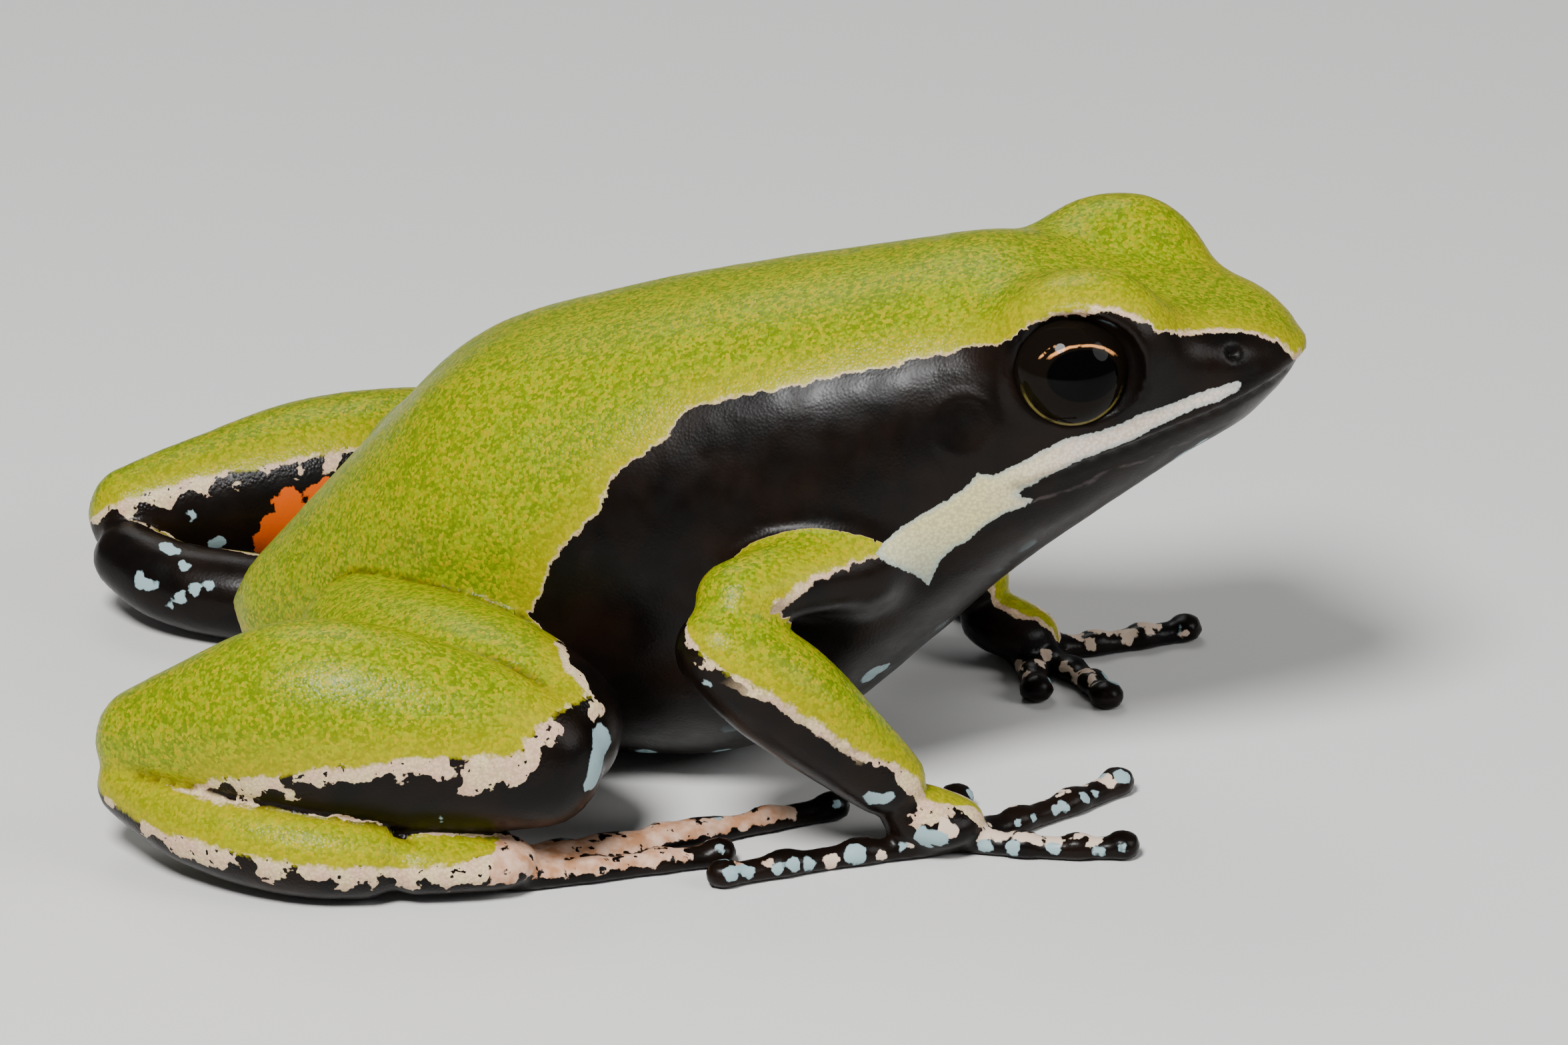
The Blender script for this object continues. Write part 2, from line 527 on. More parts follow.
for side in (-1, 1):
    trunk = parts["trunk", 0]
    thigh, shank, tarsus = [parts[kind, side] for kind in ("thigh", "shank", "tarsus")]
    off_knee, off_heel = eased(shank[1], *OFF_KNEE), eased(1 - shank[1], *OFF_HEEL)
    for one, other, fade in ((trunk, thigh, 1.0), (thigh, shank, off_knee), (shank, tarsus, off_heel)):
        meeting = fade * bell(np.maximum(one[0], other[0]), MEETING_REACH)
        crease = np.maximum(crease, meeting * bell(one[0] - other[0], STAIN_SPREAD))
        lift -= MEETING_DEPTH * meeting * bell(one[0] - other[0], MEETING_SPREAD)
corners = corners + normals * lift[:, None]
corners[:, 2] = np.maximum(corners[:, 2], 0)

# The colours lie in the skin itself: lime green above and on the limbs, black below and on the face,
# with cream where the two meet. Each marking is kept as a distance to its edge, in mm, one for each
# point of the skin and more than 0 inside, and the material turns them into colours.

# how fast a marking fades where another part is nearer, the greatest distance kept inside the lime, and
# the distance over which parts share the cream's width
SPREAD_TO_NEXT, DEEPEST, CREAM_BLEND = 9.0, 1.2, 0.1
# fingers and toes have no weight in the cream, and this least weight keeps it off them
LEAST_WEIGHT = 0.1
# a leg's lime ends this far ahead of the thigh's end, so the front of the knee is black
KNEE_FRONT = 1.1
# the distance inside a marking that stands for none at all
OUTSIDE = -5.0
# the lime green's lower edge on the right side: x, y, z, and the degrees that its upward way leans in
LIME_EDGE = np.array([
    (16.3, 0.2, 10.05, 60), (15.84, -0.61, 10.15, 50), (15.54, -0.86, 10.5, 50), (14.79, -1.34, 10.9, 60),
    (14.09, -1.8, 11.03, 60), (13.36, -2.6, 11.22, 50), (13.04, -2.95, 11.4, 40),
    (12.73, -3.15, 11.78, 40), (12.37, -3.25, 11.96, 40), (11.86, -3.4, 11.99, 40),
    (11.23, -3.4, 11.87, 40), (10.7, -3.35, 11.55, 40), (10.21, -3.3, 11.24, 30), (9.86, -3.3, 11, 30),
    (9.13, -3.05, 10.8, 25), (8.6, -3.1, 10.62, 20), (6.8, -3.3, 10.17, 15), (5.12, -3.5, 9.73, 12),
    (3.07, -3.62, 9.22, 12), (2.61, -3.96, 8.6, 8), (1.46, -4.27, 7.72, 5), (1.24, -4.52, 6.98, 5),
    (0.39, -4.6, 6.13, 5), (-0.05, -4.65, 5.11, 5), (-0.8, -4.5, 3.2, 5), (-2.5, -3.4, 1.9, 0),
    (-5, -2.4, 1.3, 0), (-7.2, -0.9, 1.5, 0), (-8.3, 0, 2, 0),
])
# outline of the lip's cream stripe and of the patch behind the mouth that it runs into: x and z
LIP = np.array([
    (14.9, 9.97), (14.8, 10.07), (14.16, 9.95), (13.41, 9.72), (12.76, 9.56), (12.21, 9.29), (11.24, 9.05),
    (10.34, 8.52), (9.76, 8.2), (9.55, 8.22), (9.42, 8.34), (9.33, 8.1), (9.24, 8), (8.76, 7.61),
    (8.25, 7.3), (7.81, 6.98), (7.44, 6.68), (7.31, 6.5), (7.47, 6.33), (7.8, 6.05), (8.1, 5.72),
    (8.32, 5.38), (8.42, 5.65), (8.6, 6.08), (8.86, 6.37), (9.19, 6.56), (9.58, 6.97), (10, 7.24),
    (10.47, 7.37), (10.58, 7.55), (10.2, 7.65), (10.56, 7.87), (10.91, 8.06), (11.42, 8.44), (11.99, 8.7),
    (12.7, 8.97), (13.11, 9.19), (13.86, 9.52), (14.41, 9.66), (14.85, 9.87),
])


def in_outline(points, outline):
    """How far inside a closed outline points are, less than 0 outside it: the distance to the nearest of its
    stretches, signed by whether a line from the point crosses the outline an odd number of times."""
    best = np.full(len(points), FAR)
    inside = np.zeros(len(points), dtype=bool)
    for a, b in zip(outline, np.roll(outline, -1, axis=0)):
        best = np.minimum(best, to_stretch(points, a, b)[0])
        spans = (a[1] > points[:, 1]) != (b[1] > points[:, 1])
        inside ^= spans & (points[:, 0] < a[0] + (b[0] - a[0]) * (points[:, 1] - a[1]) / (b[1] - a[1]))
    return np.where(inside, best, -best)


def past_edge(points, line):
    """Distance from points to a line of stretches, more than 0 on the side that its lean points to."""
    best = np.full(len(points), FAR)
    over = np.zeros(len(points))
    for a, b in zip(line[:-1], line[1:]):
        distance, share = to_stretch(points, a[:3], b[:3])
        closer = distance < best - 1e-9
        lean = np.radians(a[3] + (b[3] - a[3]) * share)
        way = points - (a[:3] + share[:, None] * (b[:3] - a[:3]))
        rise = way[:, 2] * np.cos(lean) + way[:, 1] * np.sin(lean)
        best = np.where(closer, distance, best)
        over = np.where(closer, rise, over)
    return np.sign(over) * best


# for each kind of part: which way round it the outer side lies, then at shares of the way along it how far
# from its top the lime green reaches on the outer and the inner side, in degrees round the part, and how
# wide the cream under it is on each, in mm
LIMB_MARKS = {
    "thigh": (1, [(0, 110, 100, 0.1, 0.1), (0.4, 98, 95, 0.1, 0.1), (0.5, 96, 125, 0.1, 0.1),
                  (0.64, 96, 120, 0.1, 0.1), (0.74, 96, 72, 0.15, 0.25), (0.86, 96, 26, 0.4, 0.4),
                  (1, 95, 0, 0.45, 0.45)]),
    "shank": (-1, [(0, 66, -4, 0.3, 0.3), (0.07, 70, 14, 1, 0.45), (0.3, 85, 50, 0.8, 0.45),
                   (0.5, 100, 50, 0.7, 0.45), (0.65, 110, 50, 0.45, 0.45), (0.8, 135, 45, 0.2, 0.5),
                   (1, 130, 50, 0.2, 0.6)]),
    "tarsus": (1, [(0, 100, -25, 0.3, 0), (0.45, 86, -24, 0.55, 0), (0.8, 84, 0, 0.6, 0.1),
                   (1, 82, 5, 0.6, 0.2)]),
    "sole": (1, [(0, 78, 5, 0.6, 0.2), (0.5, 68, 5, 0.8, 0.2), (0.8, 52, 5, 0.9, 0.2),
                 (1, 30, 0, 0.9, 0.3)]),
    "upper_arm": (-1, [(0, 55, 80, 0, 0), (0.5, 70, 80, 0.12, 0), (1, 95, 90, 0.3, 0)]),
    "forearm": (1, [(0, 95, 70, 0.35, 0), (0.25, 82, 62, 0.2, 0.05), (0.6, 76, 60, 0.22, 0.08),
                    (0.8, 60, 45, 0.45, 0.15), (1, 48, 25, 0.6, 0.2)]),
    "palm": (1, [(0, 46, 28, 0.8, 0.2), (0.5, 40, 25, 0.8, 0.2), (1, 20, 20, 0.7, 0.2)]),
}
# cream that the trunk has under its lime on the face and on the rump: width, and where along x it comes in
TRUNK_CREAM = [(0.11, 10.5, 12.0), (0.03, 0.0, -3.0)]
# the lime comes lower on the left of the snout, which shows past its profile: by how much, x, reach
SNOUT_LIME = (0.3, 14.7, 0.8)
# the rosy strips on the toes and at the sole's end: degrees to each side of STRIP_TURN, and mm for each
# share of the way short of STRIP_END, less than 0 where the strip begins there
ROSY_STRIPS = {"toe": (55, 4.0), "sole": (78, -1.6)}
STRIP_TURN, STRIP_END = 20, 0.84
# the cream of the lip lies outside this half width, and pale spots lie where the trunk faces down this much
LIP_FROM, UNDER_FROM = 1.5, (0.6, 0.85)
# pale blue-white spots, rosy spots of the hands, and the orange of the hidden sides: for each part, share of
# the way along it, degrees from its top with more than 0 on the outer side, and size
SKY_SPOTS = {
    "shank": [(0.2, 128, 0.14), (0.8, -110, 0.2), (0.86, -80, 0.16), (0.7, -130, 0.2)],
    "forearm": [(0.91, 116, 0.22), (0.97, 98, 0.17), (0, 118, 0.13), (0.96, 105, 0.17)],
    "palm": [(0, 104, 0.2), (1, 97, 0.17), (0.1, 112, 0.2), (0.4, 98, 0.2), (0.75, 100, 0.2),
             (0.55, 120, 0.16)],
    "finger2": [(0.14, 85, 0.17), (0.3, 79, 0.2), (0.52, 71, 0.16), (0.8, 75, 0.15)],
    "finger3": [(0.16, -50, 0.16), (0.37, -62, 0.27), (0.57, -70, 0.16), (0.65, -70, 0.19),
                (0.73, -72, 0.15), (0.9, -50, 0.2), (1, -65, 0.22)],
    "finger1": [(0.3, 66, 0.12), (0.36, 62, 0.13), (0.5, 55, 0.14), (0.56, 50, 0.16), (0.7, 55, 0.16),
                (0.76, 50, 0.13), (1, 30, 0.22)],
    "tarsus": [(0.25, -12, 0.2), (0.3, -16, 0.17), (0.4, -38, 0.17), (0.22, -74, 0.2), (0.28, -74, 0.2),
               (0.52, -58, 0.15), (0.47, -68, 0.17), (0.42, -82, 0.16), (0.37, -95, 0.14),
               (0.7, -60, 0.16)],
}
ROSY_SPOTS = {
    "palm": [(0.8, 66, 0.17), (0.93, 74, 0.22)],
    "finger2": [(0.1, 20, 0.2), (0.22, 12, 0.21), (0.33, 14, 0.2), (0.42, 12, 0.18), (0.52, 5, 0.2),
                (0.68, 8, 0.18), (0.76, 10, 0.2)],
    "finger1": [(0.62, -8, 0.16), (0.9, 12, 0.18)],
    "finger0": [(0.5, 20, 0.2)],
}
ORANGE_SPOTS = {
    "shank": [(0.61, -80, 0.4), (0.64, -97, 0.45), (0.67, -114, 0.4), (0.55, -95, 0.55),
              (0.56, -112, 0.5), (0.53, -80, 0.5), (0.47, -95, 0.5)],
    "thigh": [(0.35, 125, 0.7), (0.5, 125, 0.8), (0.65, 125, 0.7)],
}
# pale spots low on the chest, on the chin and on the front of the right knee: x, distance from the middle,
# z and size in mm
LONE_SPOTS = [(6.9, 2.67, 2.85, 0.3), (7.1, 2.5, 2.95, 0.25), (13.5, 1.5, 8.1, 0.22), (13.9, 1.45, 8.4, 0.2),
              (1.97, 8.3, 3.25, 0.4), (1.95, 8.65, 2.95, 0.38), (1.88, 8.9, 2.6, 0.28)]


def place_on(name, share, turn):
    """The place on a limb's skin at a share of the way along it and a turn from its top. Less than 0 or more
    than 1 the share runs on over the round end, like the sine of the angle to the end's rim."""
    middles, radii, squash = swept[name]
    at = int(round(np.clip(share, 0, 1) * (len(middles) - 1)))
    along, sideways, upward = [ways[at] for ways in limb_ways(middles, name[1])]
    angle, tip = np.radians(turn), max(share - 1, 0) + min(share, 0)
    around = np.sin(angle) * sideways + np.cos(angle) * upward
    flat = np.array((1, 1, 1 / squash[at]))
    return middles[at] + radii[at] * flat * (tip * along + np.sqrt(1 - tip * tip) * around)


def spotted(spots):
    """How far inside the nearest of round spots on the limbs of both sides the skin's points are."""
    best = np.full(len(corners), OUTSIDE)
    for kind, rows in spots.items():
        way = LIMB_MARKS[kind][0] if kind in LIMB_MARKS else 1
        for side, (share, turn, size) in product((-1, 1), rows):
            middle = place_on((kind, side), share, way * turn)
            best = np.maximum(best, size - np.linalg.norm(corners - middle, axis=1))
    return best


lime = np.minimum(past_edge(right_first, LIME_EDGE), DEEPEST) - SPREAD_TO_NEXT * (to_trunk - nearest)
from_eye = right_first - EYE_AT * (1, -1, 1)
out = from_eye @ eye_facing(-1)
past_lid = np.sqrt(np.maximum((from_eye ** 2).sum(1) - out ** 2, 0)) - LID_RADIUS
lime = np.where(out > 0, np.minimum(lime, past_lid), lime)
lime += SNOUT_LIME[0] * bell(corners[:, 0] - SNOUT_LIME[1], SNOUT_LIME[2]) * (corners[:, 1] > 0)
cream_weight = np.exp((nearest - to_trunk) / CREAM_BLEND)
cream = cream_weight * sum(width * eased(corners[:, 0], *stretch) for width, *stretch in TRUNK_CREAM)
pink = np.full(len(corners), OUTSIDE)
for (kind, side), (distance, share, turn, radius) in parts.items():
    spill = SPREAD_TO_NEXT * (distance - nearest)
    if kind in LIMB_MARKS:
        way, marks = LIMB_MARKS[kind]
        at, *widths = np.array(marks, dtype=float).T
        outer, inner, outer_cream, inner_cream = [np.interp(share, at, width) for width in widths]
        inside = np.radians(np.minimum(outer - way * turn, inner + way * turn)) * radius
        if kind in ("thigh", "shank"):
            middles = swept["thigh", side][0]
            forward = unit(middles[-1] - middles[-6])
            inside = np.minimum(inside, KNEE_FRONT - (corners - middles[-1]) @ forward)
        lime = np.maximum(lime, np.minimum(inside, DEEPEST) - spill)
        outwards = eased(way * turn - (outer - inner) / 2, -10, 10)
        weight = np.exp((nearest - distance) / CREAM_BLEND)
        cream += weight * (inner_cream * (1 - outwards) + outer_cream * outwards)
        cream_weight += weight
    for strip, (reach, length) in ROSY_STRIPS.items():
        if kind.startswith(strip):
            across = np.radians(reach - np.abs(turn - STRIP_TURN)) * radius
            pink = np.maximum(pink, np.minimum(across, length * (STRIP_END - share)) - spill)
cream /= np.maximum(cream_weight, LEAST_WEIGHT)
# fingers get random rosy spots, and every finger and toe two blue ones near its tip
rng = np.random.default_rng(11)
finger_spots, tip_spots = {}, {}
for kind in sorted({kind for kind, side in swept if kind.startswith(("finger", "toe"))}):
    shares = np.arange(0.12, 1.0, 0.2) + rng.uniform(-0.05, 0.05, 5)
    if kind.startswith("finger"):
        finger_spots[kind] = [(share, rng.uniform(-75, -15), rng.uniform(0.12, 0.2)) for share in shares]
    tip_spots[kind] = [(1.0, rng.uniform(30, 70), 0.14), (0.94, rng.uniform(-70, -30), 0.1)]
pink = np.maximum.reduce([pink, spotted(ROSY_SPOTS), spotted(finger_spots)])
sky = np.maximum(spotted(SKY_SPOTS), spotted(tip_spots))
for x, y, z, size in LONE_SPOTS:
    sky = np.maximum(sky, size - from_twins(x, y, z))
orange = spotted(ORANGE_SPOTS)
lip = in_outline(right_first[:, [0, 2]], LIP)
lip = np.where((right_first[:, 1] < -LIP_FROM) & (normals[:, 1] * corners[:, 1] > 0), lip, OUTSIDE)
under = eased(-normals[:, 2], *UNDER_FROM) * eased(nearest + 0.15 - to_trunk, 0.0, 0.05)
mouth = np.where(in_mouth > 0, mouth, -OUTSIDE)

# The frog's skin mesh and what it stands for: every solid but the two eyes.


def smooth_mesh(name, points, faces, **kept):
    """A smooth mesh of points in mm, with values or vectors kept at its points by name."""
    made = bpy.data.meshes.new(name)
    made.from_pydata((np.array(points) * MM).tolist(), [], faces)
    made.shade_smooth()
    for key, values in kept.items():
        kind, field = ("FLOAT", "value") if values.ndim == 1 else ("FLOAT_VECTOR", "vector")
        layer = made.attributes.new(key, kind, "POINT")
        layer.data.foreach_set(field, values.astype(np.float32).ravel())
    return made


mesh = smooth_mesh("skin", corners, quads.tolist(), lime=lime, cream=cream, pink=pink, lip=lip, under=under,
                   sky=sky, orange=orange, crease=crease, mouth=mouth)
skin_piece = shown("skin", mesh)
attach(skin_piece, "root")
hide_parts(*[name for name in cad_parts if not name.startswith("eye_")])

# The skin is moist and finely granular: pebbled with grains under a tenth of a millimetre, which are
# green, yellow and gold side by side in the lime, under a wet film.
GRAIN_SIZE, PEBBLE_HEIGHT = 0.075, 0.009
WATER_IOR, SKIN_WETNESS = 1.33, 0.28
LIME_LIGHT, LIME_DEEP, LIME_GOLD = (0.3, 0.365, 0.0), (0.135, 0.2, 0.0), (0.46, 0.36, 0.0)
CREAM, CREAM_GRAIN, ROSE = (0.8, 0.64, 0.36), (0.34, 0.22, 0.12), (0.76, 0.5, 0.36)
BLACK, BROWN_BLACK, MOUTH_GREY = (0.0035, 0.0025, 0.002), (0.01, 0.005, 0.003), (0.1, 0.08, 0.08)
SKY, ORANGE, CREASE = (0.33, 0.47, 0.5), (0.73, 0.105, 0.002), (0.06, 0.035, 0.002)
COPPER, HAND_ROSE = (0.5, 0.24, 0.12), (0.78, 0.6, 0.46)
LIP_YELLOW, LIP_ROSE, LIP_GRAIN = (0.8, 0.74, 0.36), (0.78, 0.66, 0.56), (0.36, 0.29, 0.2)


class Nodes:
    """A material's nodes, made and joined one at a time. A pattern's scale is given as its size in mm."""

    def __init__(self, name):
        self.material = bpy.data.materials.new(name)
        self.material.use_nodes = True
        self.tree = self.material.node_tree
        self.shader = self.tree.nodes["Principled BSDF"]
        self.place = self.add("ShaderNodeTexCoord").outputs["Object"]

    def add(self, kind, **settings):
        made = self.tree.nodes.new(kind)
        for name, value in settings.items():
            setattr(made, name, value)
        return made

    def join(self, value, socket):
        if isinstance(value, bpy.types.NodeSocket):
            self.tree.links.new(value, socket)
        else:
            socket.default_value = value

    def feed(self, node, **values):
        """Gives a node's inputs their values. A name here has _ where the input's has a space."""
        for name, value in values.items():
            self.join(value, node.inputs[name.replace("_", " ")])
        return node

    def worked(self, kind, *values, **settings):
        """What a new node makes of values given to its first inputs."""
        made = self.add(kind, **settings)
        for value, socket in zip(values, made.inputs):
            self.join(value, socket)
        return made.outputs[0]

    def math(self, operation, *values):
        return self.worked("ShaderNodeMath", *values, operation=operation)

    def plus(self, first, second):
        return self.math("ADD", first, second)

    def less(self, first, second):
        return self.math("SUBTRACT", first, second)

    def times(self, first, second):
        return self.math("MULTIPLY", first, second)

    def length(self, across, up):
        """The square root of the sum of the squares."""
        return self.math("SQRT", self.plus(self.times(across, across), self.times(up, up)))

    def kept(self, name, output="Fac"):
        """A marking that the mesh keeps at its points."""
        return self.add("ShaderNodeAttribute", attribute_name=name).outputs[output]

    def split(self, value, kind="ShaderNodeSeparateXYZ"):
        made = self.add(kind)
        self.join(value, made.inputs[0])
        return made.outputs

    def pattern(self, kind, size):
        return self.feed(self.add(kind), Vector=self.place, Scale=1 / MM / size)

    def noise(self, size, detail=3.0):
        return self.feed(self.pattern("ShaderNodeTexNoise", size), Detail=detail).outputs["Fac"]

    def wander(self, size, amount, detail=3.0):
        """Noise that lies evenly about 0."""
        return self.times(self.less(self.noise(size, detail), 0.5), amount)

    def cells(self, size, output="Distance"):
        return self.pattern("ShaderNodeTexVoronoi", size).outputs[output]

    def ramp(self, value, low, high, start=0.0, end=1.0):
        """start below low, end above high, and evenly between."""
        return self.worked("ShaderNodeMapRange", value, low, high, start, end)

    def band(self, value, middle, near, far, most=1.0):
        """most where a value is within near of the middle one, and 0 past far from it."""
        return self.ramp(self.math("ABSOLUTE", self.less(value, middle)), near, far, most, 0.0)

    def mix(self, share, first, second):
        made = self.add("ShaderNodeMix", data_type="RGBA")
        self.join(share, made.inputs[0])
        for colour, socket in ((first, made.inputs[6]), (second, made.inputs[7])):
            self.join(colour if isinstance(colour, bpy.types.NodeSocket) else (*colour, 1.0), socket)
        return made.outputs[2]

    def laid(self, under, over, value, *ramp):
        """One colour laid over another where a value is high."""
        return self.mix(self.ramp(value, *ramp), under, over)


look = Nodes("frog_skin")
place_x, _, place_z = look.split(look.place)
grain = look.cells(GRAIN_SIZE)
fleck, other_fleck, _ = look.split(look.cells(GRAIN_SIZE, "Color"), "ShaderNodeSeparateColor")
ragged = look.plus(look.wander(0.3, 0.34), look.times(look.less(grain, 0.4), 0.06))
lime_edge = look.plus(look.kept("lime"), ragged)
cream_edge = look.plus(lime_edge, look.kept("cream"))
# lime: deep, light and gold grains, more gold towards the edge, dark pores, and brown in the creases
tint = look.plus(look.times(fleck, 0.8), look.times(look.noise(1.6), 0.4))
tint = look.less(tint, look.times(grain, 0.45))
green = look.laid(LIME_DEEP, LIME_LIGHT, tint, 0.15, 0.8)
green = look.laid(green, LIME_GOLD, other_fleck, 0.6, 0.95, 0.0, 0.75)
green = look.laid(green, LIME_GOLD, look.kept("lime"), 0.05, 1.0, 0.5, 0.0)
green = look.laid(green, LIME_DEEP, look.cells(0.9), 0.03, 0.05, 0.7, 0.0)
green = look.mix(look.times(look.kept("crease"), 0.85), green, CREASE)
# cream: rosy in places, dark between the grains, broken by black specks and blotches where it is wide
pale = look.laid(CREAM, ROSE, look.noise(0.5, 2.0), 0.35, 0.65)
pale = look.laid(pale, CREAM_GRAIN, grain, 0.3, 0.75, 0.0, 0.4)
speck = look.ramp(look.noise(0.16, 2.0), 0.65, 0.68)
blotch = look.plus(look.times(look.noise(0.6), 1.5), look.ramp(cream_edge, 0.0, 0.7, -0.1, -0.46))
blotched = look.math("MAXIMUM", look.ramp(blotch, 0.5, 0.52), speck)
blotched = look.times(blotched, look.ramp(look.kept("cream"), 0.18, 0.3))
cream_here = look.times(look.ramp(cream_edge, 0.0, 0.03), look.less(1.0, blotched))
# from below: black, the underside's pale spots, cream, a grey streak under the lip, lime
dark = look.laid(BLACK, BROWN_BLACK, look.noise(1.4, 2.0), 0.4, 0.7)
spot_rim = look.plus(look.cells(1.15), look.times(look.noise(0.3, 2.0), 0.25))
spots = look.times(look.ramp(spot_rim, 0.3, 0.36, 1.0, 0.0), look.kept("under"))
colour = look.mix(spots, dark, SKY)
colour = look.mix(cream_here, colour, pale)
streak = look.plus(look.kept("mouth"), look.times(look.noise(0.9), 0.5))
streak = look.times(look.band(streak, -0.2, 0.02, 0.06, 0.5), look.ramp(look.noise(0.5), 0.45, 0.6))
colour = look.mix(streak, colour, MOUTH_GREY)
colour = look.laid(colour, green, lime_edge, 0.0, 0.1)
# then the mottled copper, paler on the hands, the pale blue and the orange, all with wavy edges
rosy = look.laid(COPPER, ROSE, look.noise(0.35), 0.35, 0.65)
rosy = look.laid(rosy, BLACK, look.noise(0.32), 0.6, 0.63)
rosy = look.laid(rosy, HAND_ROSE, place_x, 5.2 * MM, 5.8 * MM)
for name, amount, shade in (("pink", 0.5, rosy), ("sky", 0.3, SKY), ("orange", 0.5, ORANGE)):
    edge = look.plus(look.kept(name), look.wander(0.3, amount))
    colour = look.laid(colour, shade, edge, 0.0, 0.03)
# the lip's stripe: rosier ahead, bluish low down and at its edge, dark between the grains
lip_edge = look.plus(look.kept("lip"), look.times(ragged, 0.2))
lip_edge = look.plus(lip_edge, look.wander(0.08, 0.08, 1.0))
stripe = look.laid(LIP_YELLOW, LIP_ROSE, place_x, 9.5 * MM, 11.5 * MM)
stripe = look.laid(stripe, SKY, place_z, 5.4 * MM, 7.0 * MM, 0.75, 0.0)
stripe = look.laid(stripe, SKY, lip_edge, 0.02, 0.14, 0.7, 0.0)
stripe = look.laid(stripe, LIP_GRAIN, grain, 0.3, 0.75, 0.0, 0.45)
colour = look.laid(colour, stripe, lip_edge, 0.0, 0.02)
# the relief of the grains is fainter in the black
relief = look.plus(look.ramp(grain, 0.0, 0.7, 0.8, 0.0), look.times(look.noise(0.3), 0.8))
relief = look.times(relief, look.ramp(cream_edge, 0.0, 0.2, 0.25, 1.0))
bump = look.feed(look.add("ShaderNodeBump"), Strength=1.0, Distance=PEBBLE_HEIGHT * MM, Height=relief)
roughness = look.ramp(look.noise(0.5, 2.0), 0.3, 0.7, 0.26, 0.38)
look.feed(look.shader, Base_Color=colour, Normal=bump.outputs[0], Roughness=roughness, IOR=WATER_IOR,
          Specular_IOR_Level=SKIN_WETNESS)
mesh.materials.append(look.material)

# Each eye is a wet black ball with a broad dark iris, a pupil wider than it is high, a broken copper arc
# over the pupil and a thin gold line round the foot of the iris.
IRIS_RADIUS = 1.24
# half sizes of the pupil, and how far ahead of the middle of the iris it lies
PUPIL_WIDE, PUPIL_HIGH, PUPIL_AHEAD = 0.78, 0.57, 0.2
# the copper arc and the shorter one outside it, in sizes of the pupil, and the gold line's radius
ARC_AT, OUTER_ARC_AT, GOLD_RADIUS = 1.15, 1.36, 1.12
EYE_ROUGHNESS, EYE_WETNESS = 0.04, 0.14
EYE_BLACK, IRIS_BROWN, PUPIL_BLACK = (0.003, 0.002, 0.002), (0.006, 0.0042, 0.0028), (0.001, 0.001, 0.001)
ARC_COPPER, FOOT_GOLD = (0.85, 0.36, 0.11), (0.16, 0.13, 0.035)


def eyeball(side):
    """A ball round its own look: rings at even angles from the look, with each point's place across and up
    the iris kept beside it. The poles are single points. The left ball mirrors the right one, so its faces
    are turned over."""
    facing = eye_facing(side)
    across = unit(-side * np.cross((0, 0, 1), facing))
    up = -side * np.cross(facing, across)
    rings, sides = 60, 96
    tilt = np.linspace(0, np.pi, rings + 1)[1:-1][:, None]
    turn = np.linspace(0, 2 * np.pi, sides, endpoint=False)[None, :]
    plan = np.stack([np.sin(tilt) * np.cos(turn), np.sin(tilt) * np.sin(turn), np.cos(tilt) + 0 * turn], -1)
    plan = np.concatenate([[(0, 0, 1)], plan.reshape(-1, 3), [(0, 0, -1)]]) * EYE_RADIUS
    points = EYE_AT * (1, side, 1) + plan[:, :1] * across + plan[:, 1:2] * up + plan[:, 2:] * facing
    first = list(range(1, sides + 1))
    after = first[1:] + first[:1]
    lower = (rings - 2) * sides
    faces = [(0, a, b) for a, b in zip(first, after)]
    for down in range(0, lower, sides):
        faces += [(a + down, a + down + sides, b + down + sides, b + down) for a, b in zip(first, after)]
    faces += [(len(points) - 1, b + lower, a + lower) for a, b in zip(first, after)]
    if side > 0:
        faces = [face[::-1] for face in faces]
    return smooth_mesh("eye", points, faces, iris=plan)


gaze = Nodes("frog_eye")
across, up, _ = gaze.split(gaze.kept("iris", "Vector"))
pupil_x = gaze.math("DIVIDE", gaze.less(across, PUPIL_AHEAD), PUPIL_WIDE)
pupil_y = gaze.math("DIVIDE", up, PUPIL_HIGH)
from_pupil, from_middle = gaze.length(pupil_x, pupil_y), gaze.length(across, up)
wavy = gaze.plus(from_pupil, gaze.wander(0.22, 0.1))
arc = gaze.times(gaze.band(wavy, ARC_AT, 0.025, 0.065), gaze.ramp(up, 0.36, 0.46))
outer_arc = gaze.times(gaze.band(wavy, OUTER_ARC_AT, 0.015, 0.04), gaze.ramp(up, 0.36, 0.42))
outer_arc = gaze.times(outer_arc, gaze.ramp(across, -0.42, -0.36, 1.0, 0.0))
copper = gaze.times(gaze.math("MAXIMUM", arc, outer_arc), gaze.ramp(gaze.noise(0.16, 2.0), 0.4, 0.48))
gold = gaze.times(gaze.band(from_middle, GOLD_RADIUS, 0.015, 0.04), gaze.ramp(up, -0.65, -0.2, 1.0, 0.0))
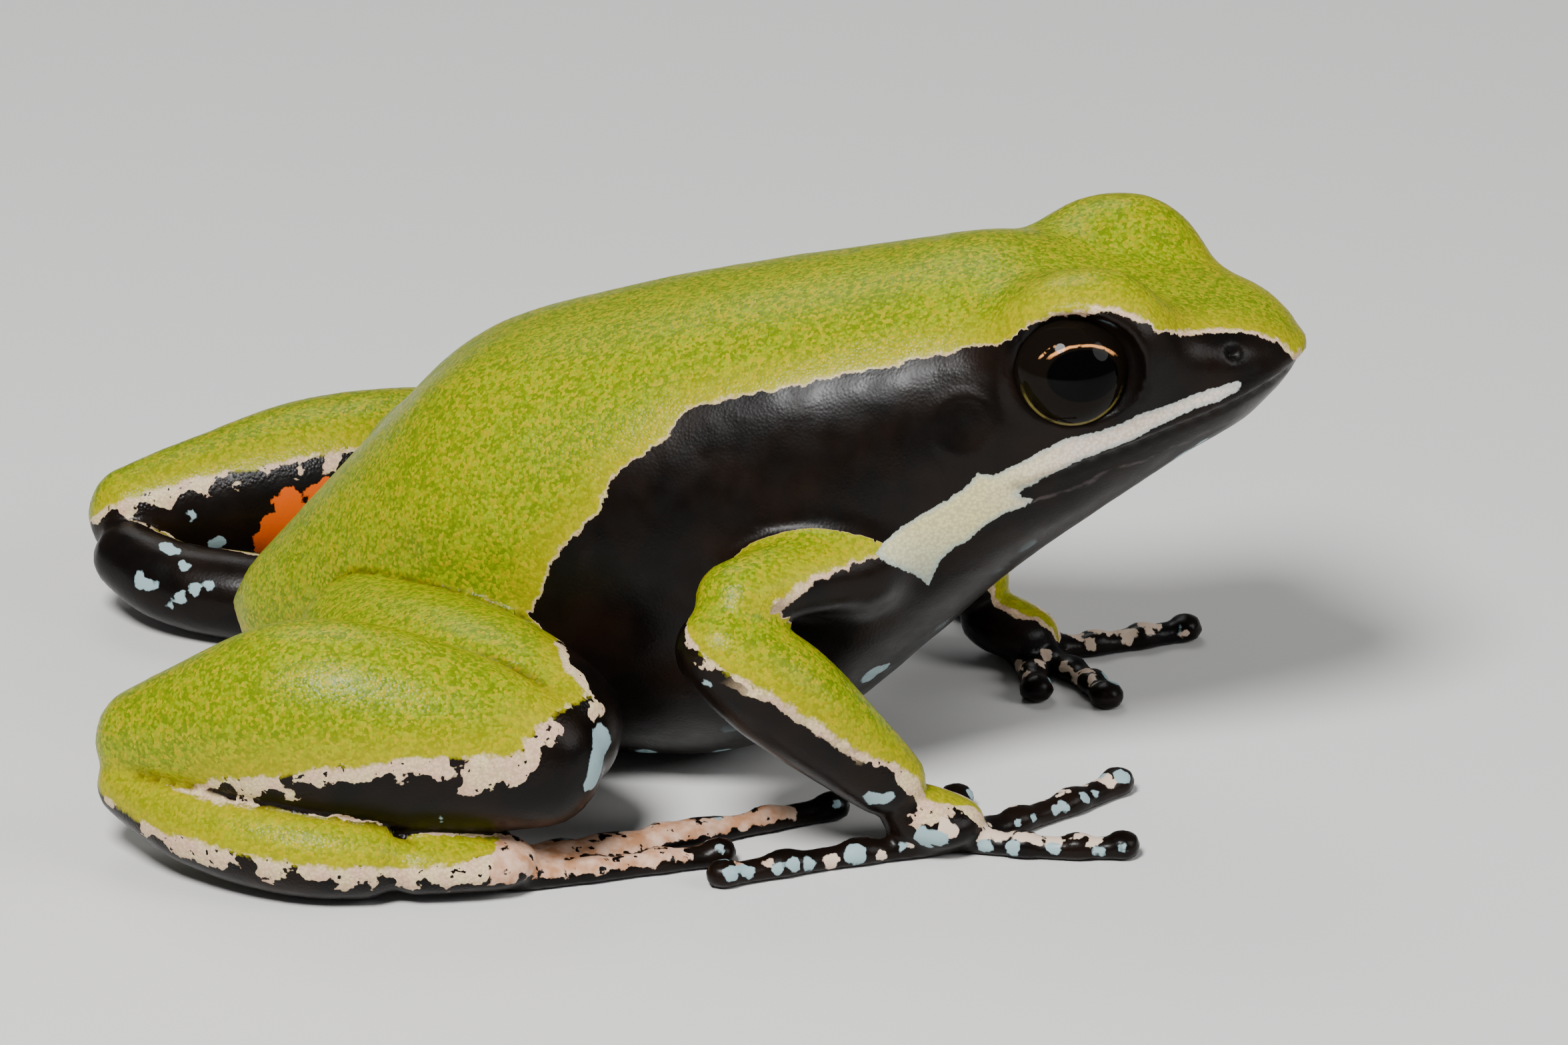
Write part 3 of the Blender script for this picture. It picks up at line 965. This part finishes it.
gold = gaze.times(gold, gaze.ramp(gaze.noise(0.3, 2.0), 0.3, 0.5))
colour = gaze.laid(IRIS_BROWN, EYE_BLACK, from_middle, IRIS_RADIUS - 0.03, IRIS_RADIUS)
colour = gaze.laid(colour, PUPIL_BLACK, from_pupil, 0.97, 1.03, 1.0, 0.0)
colour = gaze.mix(copper, colour, ARC_COPPER)
colour = gaze.mix(gold, colour, FOOT_GOLD)
gaze.feed(gaze.shader, Base_Color=colour, Roughness=EYE_ROUGHNESS, IOR=WATER_IOR,
          Specular_IOR_Level=EYE_WETNESS)
for side, name in ((-1, "eye_right"), (1, "eye_left")):
    made = eyeball(side)
    made.materials.append(gaze.material)
    piece = shown("ball_" + name, made)
    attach(piece, "root")
    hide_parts(name)

# The studio: a pale floor and three soft lights, which aren't part of the frog.
FLOOR_SIZE = 1200.0
FLOOR_COLOUR, FLOOR_ROUGHNESS = (0.8, 0.79, 0.77, 1.0), 0.7
ROOM_COLOUR, ROOM_STRENGTH = (0.85, 0.88, 0.92, 1.0), 0.14
# name, azimuth and height over the floor in degrees, distance and width in mm, watts
LIGHTS = [
    ("key", -12, 52, 170, 50, 0.42),
    ("fill", 80, 32, 220, 110, 0.16),
    ("rim", 205, 50, 200, 90, 0.07),
]
half = FLOOR_SIZE / 2
rim = [(-half, -half, 0), (half, -half, 0), (half, half, 0), (-half, half, 0)]
ground = smooth_mesh("floor", rim, [(0, 1, 2, 3)])
paint = Nodes("pale_floor")
paint.feed(paint.shader, Base_Color=FLOOR_COLOUR, Roughness=FLOOR_ROUGHNESS)
ground.materials.append(paint.material)
floor = shown("floor", ground)
for name, azimuth, height, distance, width, watts in LIGHTS:
    lamp = bpy.data.lights.new(name, "AREA")
    lamp.shape = "DISK"
    lamp.size = width * MM
    lamp.energy = watts
    aimed(shown(name, lamp), azimuth, height, distance)
world = bpy.data.worlds.new("studio")
world.use_nodes = True
background = world.node_tree.nodes["Background"]
background.inputs["Color"].default_value = ROOM_COLOUR
background.inputs["Strength"].default_value = ROOM_STRENGTH
bpy.context.scene.world = world
